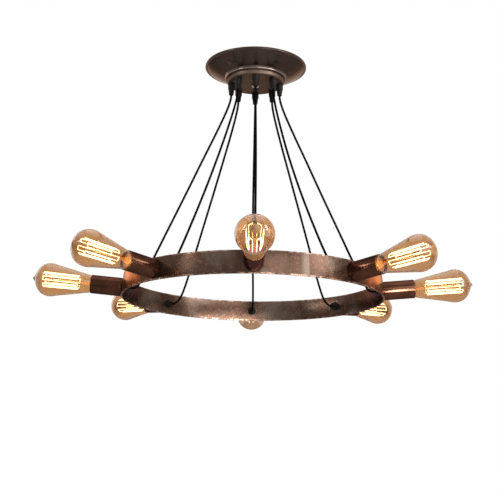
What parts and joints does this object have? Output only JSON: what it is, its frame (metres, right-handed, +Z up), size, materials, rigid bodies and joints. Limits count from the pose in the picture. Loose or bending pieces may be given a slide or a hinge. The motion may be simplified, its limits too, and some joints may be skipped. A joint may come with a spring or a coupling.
{
  "type": "chandelier",
  "caption": "Wrought iron ring chandelier with tall amber filament bulbs round its outside, hung by cords from a round ceiling canopy.",
  "frame": {"origin": "on the ceiling plane, on the canopy's axis, at the centre of the two ceiling slots", "axes": "+Z up into the ceiling along the canopy's axis, -Y towards the viewer of the picture, +X to that viewer's right"},
  "size_m": [0.8476, 0.8476, 0.4791],
  "materials": {
    "bronze_iron": "dark bronze brown, hand rubbed, semi gloss",
    "zinc_steel": "zinc plated, satin",
    "black_fitting": "black, glossy",
    "black_cord": "black, matt",
    "insulator": "dark phenolic, matt",
    "brass": "plain, bright",
    "amber_glass": "clear amber, glossy",
    "filament": "clear stem with lit strands"
  },
  "bodies": {
    "fitting": {"ceiling_bracket": "zinc_steel", "earth_screw": "brass", "centre_nipple": "zinc_steel", "bracket_nuts": "zinc_steel", "hub_cap_nut": "bronze_iron", "canopy_dish": "bronze_iron", "hub_pan": "bronze_iron", "cord_grips": "black_fitting", "grip_nuts": "zinc_steel", "terminal_rosette": "insulator", "terminal_screws": "brass", "canopy_leads": "black_cord", "ring_band": "bronze_iron", "ring_bushes": "black_fitting", "socket_nipples": "zinc_steel", "nipple_nuts": "zinc_steel", "socket_leads": "black_cord", "lamp_holders": "insulator", "screw_shells": "brass", "centre_contacts": "brass", "cord_1": "black_cord", "cord_2": "black_cord", "cord_3": "black_cord", "cord_4": "black_cord", "cord_5": "black_cord", "cord_6": "black_cord", "cord_7": "black_cord", "cord_8": "black_cord", "socket_cup_1": "bronze_iron", "socket_cup_2": "bronze_iron", "socket_cup_3": "bronze_iron", "socket_cup_4": "bronze_iron", "socket_cup_5": "bronze_iron", "socket_cup_6": "bronze_iron", "socket_cup_7": "bronze_iron", "socket_cup_8": "bronze_iron"},
    "bulb_1": {"bulb_base_1": "brass", "bulb_glass_1": "amber_glass", "filament_1": "filament"},
    "bulb_2": {"bulb_base_2": "brass", "bulb_glass_2": "amber_glass", "filament_2": "filament"},
    "bulb_3": {"bulb_base_3": "brass", "bulb_glass_3": "amber_glass", "filament_3": "filament"},
    "bulb_4": {"bulb_base_4": "brass", "bulb_glass_4": "amber_glass", "filament_4": "filament"},
    "bulb_5": {"bulb_base_5": "brass", "bulb_glass_5": "amber_glass", "filament_5": "filament"},
    "bulb_6": {"bulb_base_6": "brass", "bulb_glass_6": "amber_glass", "filament_6": "filament"},
    "bulb_7": {"bulb_base_7": "brass", "bulb_glass_7": "amber_glass", "filament_7": "filament"},
    "bulb_8": {"bulb_base_8": "brass", "bulb_glass_8": "amber_glass", "filament_8": "filament"}
  },
  "joints": [
    {"name": "bulb_1_unscrew", "type": "slide", "parent": "fitting", "child": "bulb_1", "axis": [0, -0.9959, 0.0906], "range_m": [0, 0.024]},
    {"name": "bulb_2_unscrew", "type": "slide", "parent": "fitting", "child": "bulb_2", "axis": [0.7042, -0.7042, 0.0906], "range_m": [0, 0.024]},
    {"name": "bulb_3_unscrew", "type": "slide", "parent": "fitting", "child": "bulb_3", "axis": [0.9959, 0, 0.0906], "range_m": [0, 0.024]},
    {"name": "bulb_4_unscrew", "type": "slide", "parent": "fitting", "child": "bulb_4", "axis": [0.7042, 0.7042, 0.0906], "range_m": [0, 0.024]},
    {"name": "bulb_5_unscrew", "type": "slide", "parent": "fitting", "child": "bulb_5", "axis": [0, 0.9959, 0.0906], "range_m": [0, 0.024]},
    {"name": "bulb_6_unscrew", "type": "slide", "parent": "fitting", "child": "bulb_6", "axis": [-0.7042, 0.7042, 0.0906], "range_m": [0, 0.024]},
    {"name": "bulb_7_unscrew", "type": "slide", "parent": "fitting", "child": "bulb_7", "axis": [-0.9959, 0, 0.0906], "range_m": [0, 0.024]},
    {"name": "bulb_8_unscrew", "type": "slide", "parent": "fitting", "child": "bulb_8", "axis": [-0.7042, -0.7042, 0.0906], "range_m": [0, 0.024]}
  ]
}
